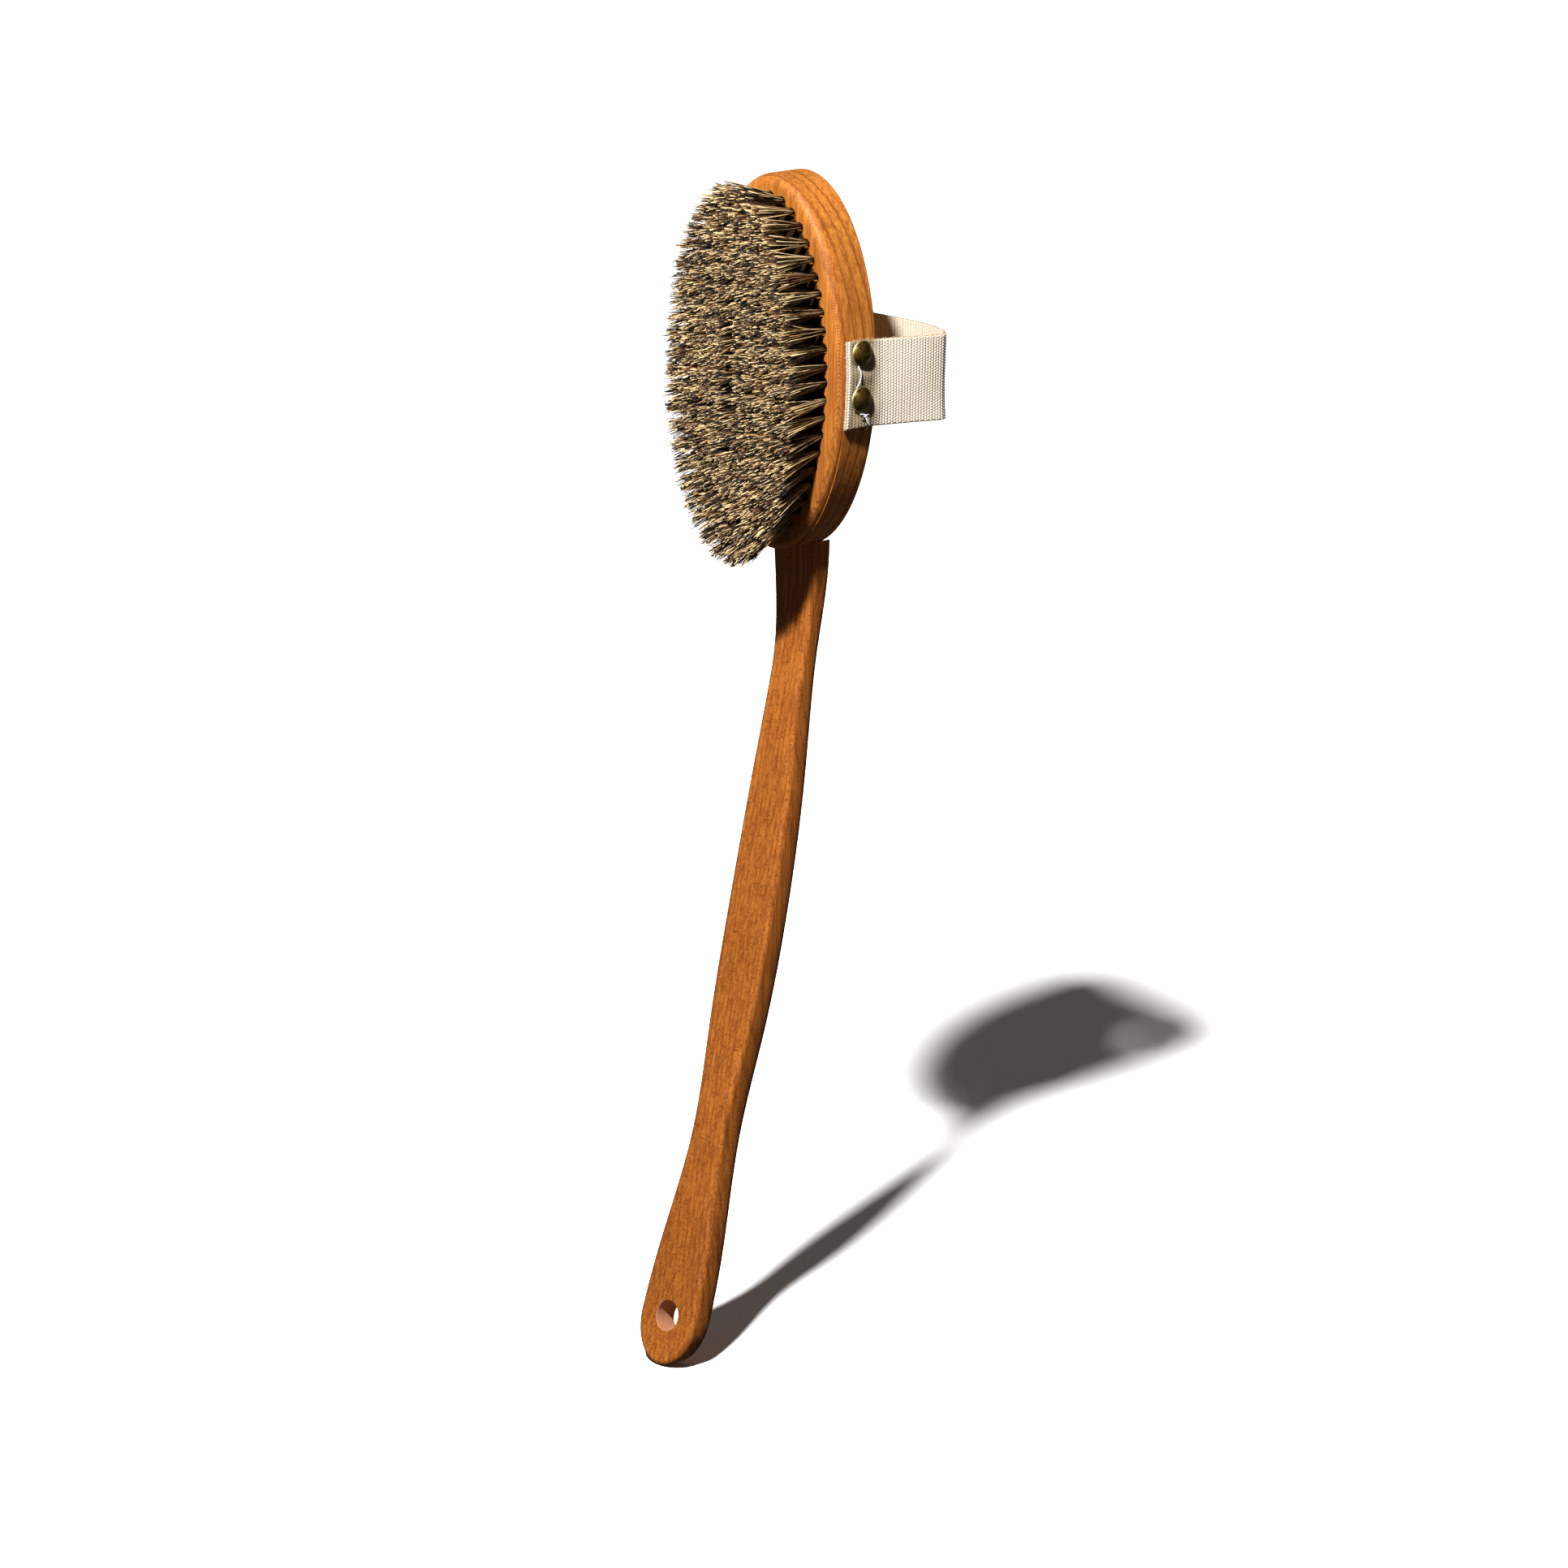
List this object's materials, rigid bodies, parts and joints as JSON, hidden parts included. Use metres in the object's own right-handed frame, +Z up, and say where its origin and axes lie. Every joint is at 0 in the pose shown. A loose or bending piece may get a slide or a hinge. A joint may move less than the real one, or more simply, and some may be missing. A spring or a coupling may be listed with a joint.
{
  "type": "body dry brush",
  "caption": "Long-handled dry brush: oval wooden head of dense mixed plant-fibre tufts, cotton webbing hand strap held by domed brass studs, curved pull-off wooden handle with hanging hole.",
  "frame": {"origin": "middle of the hanging hole at the free end of the handle, on the hole's axis and half way through the wood", "axes": "+Z runs up the handle towards the brush head, -Y is the bristle side and +Y the strap side, X is across the brush"},
  "size_m": [0.0824, 0.1145, 0.4341],
  "materials": {
    "oiled_beech": "oiled satin",
    "plant_fibre": "coarse dry plant fibre, tan and dark brown mixed",
    "staple_wire": "drawn flat wire",
    "cotton_webbing": "undyed plain weave",
    "antique_brass": "darkened, satin",
    "pin_steel": "plain drawn",
    "white_thread": "soft sewing thread"
  },
  "bodies": {
    "handle": {"handle": "oiled_beech"},
    "head": {"head_block": "oiled_beech", "bristle_tufts_ring_1": "plant_fibre", "bristle_tufts_ring_2": "plant_fibre", "bristle_tufts_ring_3": "plant_fibre", "bristle_tufts_ring_4": "plant_fibre", "bristle_tufts_ring_5": "plant_fibre", "tuft_staples_ring_1": "staple_wire", "tuft_staples_ring_2": "staple_wire", "tuft_staples_ring_3": "staple_wire", "tuft_staples_ring_4": "staple_wire", "tuft_staples_ring_5": "staple_wire", "strap": "cotton_webbing", "stud_cap_right_upper": "antique_brass", "stud_cap_right_lower": "antique_brass", "stud_cap_left_upper": "antique_brass", "stud_cap_left_lower": "antique_brass", "stud_pin_right_upper": "pin_steel", "stud_pin_right_lower": "pin_steel", "stud_pin_left_upper": "pin_steel", "stud_pin_left_lower": "pin_steel", "strap_thread": "white_thread"}
  },
  "joints": [
    {"name": "head_pull_off", "type": "slide", "parent": "handle", "child": "head", "axis": [0, 0, 1], "range_m": [0, 0.042]}
  ]
}
